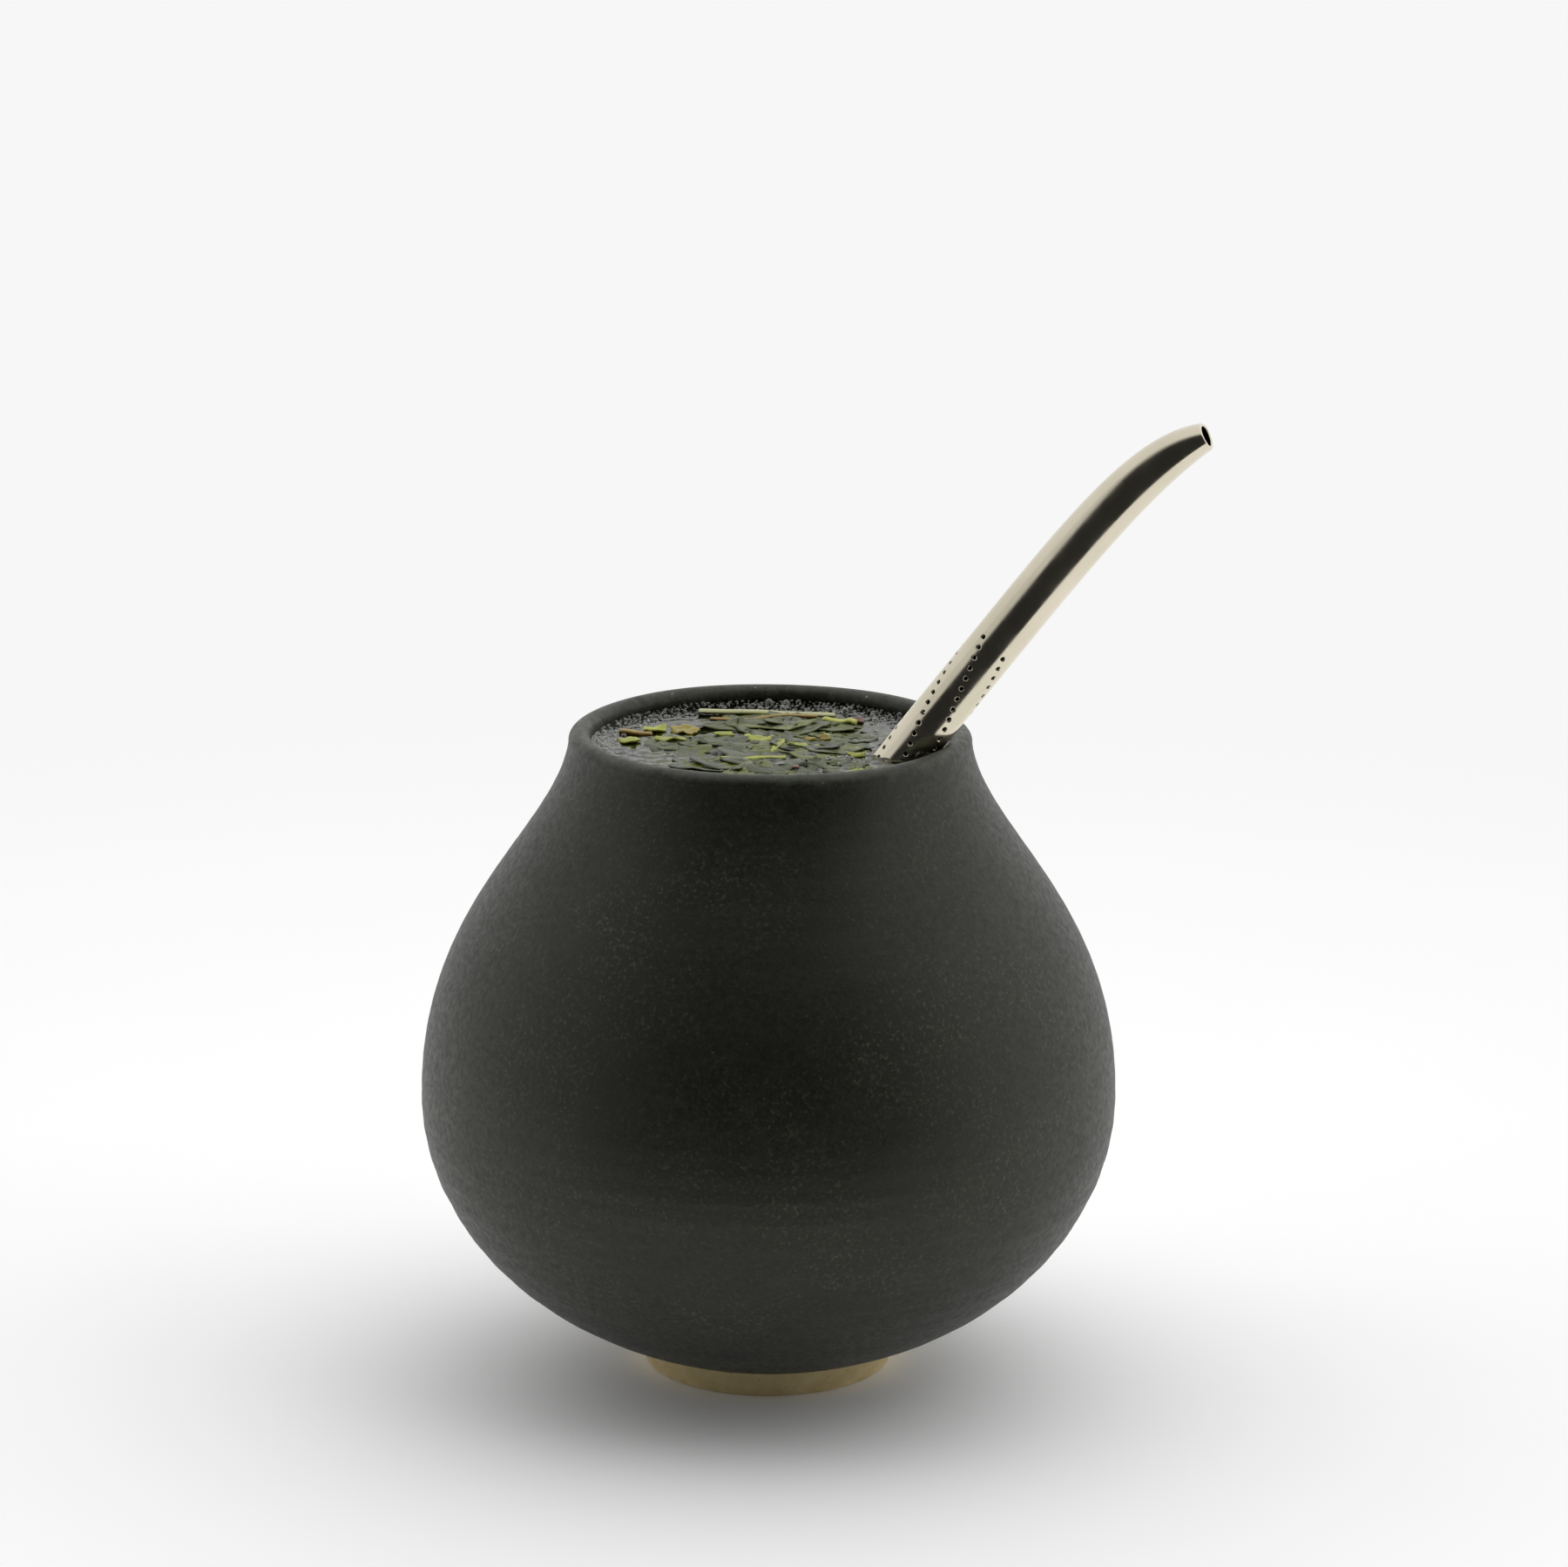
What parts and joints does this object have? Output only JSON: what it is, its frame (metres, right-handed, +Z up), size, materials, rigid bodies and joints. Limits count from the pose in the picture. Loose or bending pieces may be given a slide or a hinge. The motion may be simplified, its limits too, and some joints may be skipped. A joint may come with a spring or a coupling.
{
  "type": "mate gourd drink",
  "caption": "Stoneware gourd cup on a bare foot ring, filled with mate tea under a bed of leaves and sticks, with a perforated metal bombilla leaning on the lip.",
  "frame": {"origin": "centre of the foot ring, in the plane that the cup stands on", "axes": "+Z up along the cup's axis; the bombilla leans towards +X"},
  "size_m": [0.106, 0.095, 0.1329],
  "materials": {
    "stoneware": "matte charcoal glaze with fine pale speckle, bare buff clay on the foot ring",
    "straw_metal": "polished with fine wear lines",
    "wet_leaves": "wet grey-green leaf pieces",
    "tea": "clear greenish liquid",
    "sticks": "wet pale yellow-green and brown sticks"
  },
  "bodies": {
    "root": {"mate_cup": "stoneware", "bombilla": "straw_metal", "leaf_bed": "wet_leaves", "tea": "tea", "stick_long": "sticks", "stick_brown": "sticks", "stick_lime": "sticks", "stick_front": "sticks", "stick_left": "sticks"}
  },
  "joints": []
}
